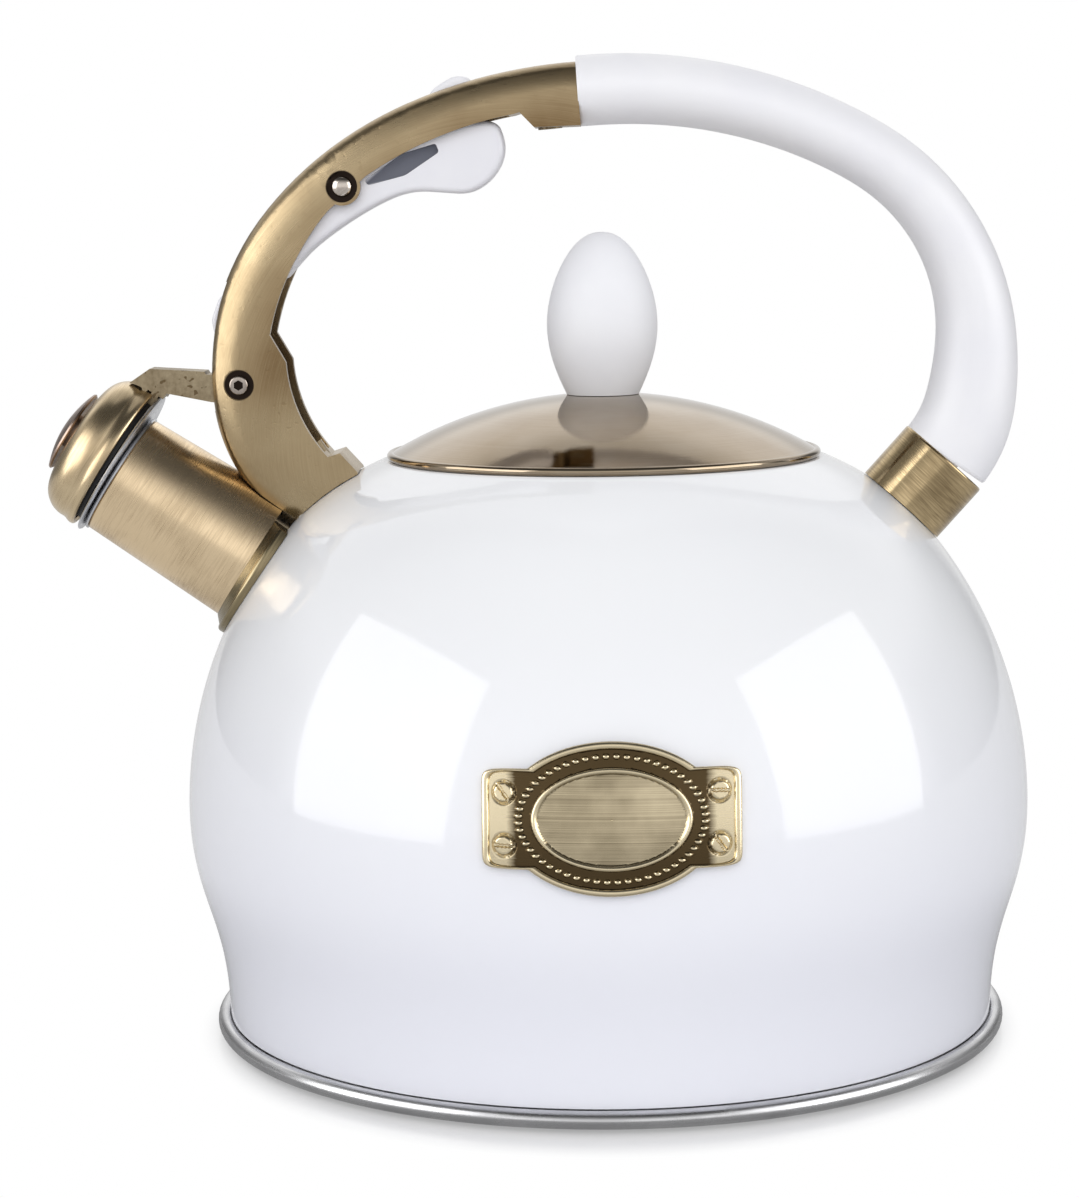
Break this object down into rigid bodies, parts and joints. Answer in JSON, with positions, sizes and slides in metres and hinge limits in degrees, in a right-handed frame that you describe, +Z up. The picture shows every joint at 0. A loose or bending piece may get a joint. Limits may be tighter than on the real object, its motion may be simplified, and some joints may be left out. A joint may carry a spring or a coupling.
{
  "type": "stovetop whistling kettle",
  "caption": "Domed stovetop kettle with a fixed over-lid handle, a lift-off knobbed lid and a squeeze trigger that lifts the whistle cap off the spout.",
  "frame": {"origin": "centre of the flat bottom, where the kettle stands", "axes": "+Z up along the body axis, -X towards the spout, -Y towards the name plate"},
  "size_m": [0.2297, 0.2001, 0.2279],
  "materials": {
    "enamel": "gloss white enamel",
    "steel": "satin stainless steel",
    "spreader": "plain",
    "brass": "brushed antique brass",
    "fasteners": "bright",
    "grip": "satin white",
    "knob": "frosted white",
    "rubber": "black silicone"
  },
  "bodies": {
    "kettle": {"body_shell": "enamel", "neck_ring": "steel", "base_pan": "steel", "heat_spreader": "spreader", "base_cover": "steel", "spout_liner": "steel", "spout_sleeve": "brass", "spout_collar": "brass", "handle_arm": "brass", "handle_core": "steel", "handle_grip": "grip", "rear_ferrule": "brass", "handle_bolts": "fasteners", "bolt_seals": "rubber", "core_screw": "fasteners", "trigger_pin": "fasteners", "lever_screw": "fasteners", "lever_nut": "fasteners", "cap_spring": "fasteners", "name_plate": "brass"},
    "lid": {"lid_dome": "brass", "lid_plug": "steel", "lid_knob": "knob", "knob_washer": "fasteners", "knob_screw": "fasteners"},
    "spout_cap": {"cap_lever": "brass", "cap_dome": "brass", "cap_ring": "rubber", "whistle_plate": "steel", "whistle_cup": "steel", "whistle_disc": "brass", "cap_rivets": "fasteners"},
    "trigger": {"trigger": "grip"}
  },
  "joints": [
    {"name": "cap_open", "type": "hinge", "parent": "kettle", "child": "spout_cap", "pos_m": [-0.0843, 0, 0.1528], "axis": [0, 1, 0], "range_deg": [0, 40], "stiffness_Nm_per_rad": 0.06, "springref_deg": -11.46, "deforming": ["cap_spring"]},
    {"name": "trigger_squeeze", "type": "hinge", "parent": "kettle", "child": "trigger", "pos_m": [-0.0594, 0, 0.198], "axis": [0, -1, 0], "range_deg": [0, 9]},
    {"name": "lid_lift", "type": "slide", "parent": "kettle", "child": "lid", "axis": [0, 0, 1], "range_m": [0, 0.022]}
  ],
  "couplings": [
    {"joint": "trigger_squeeze", "follows": "cap_open", "ratio": 0.225}
  ]
}
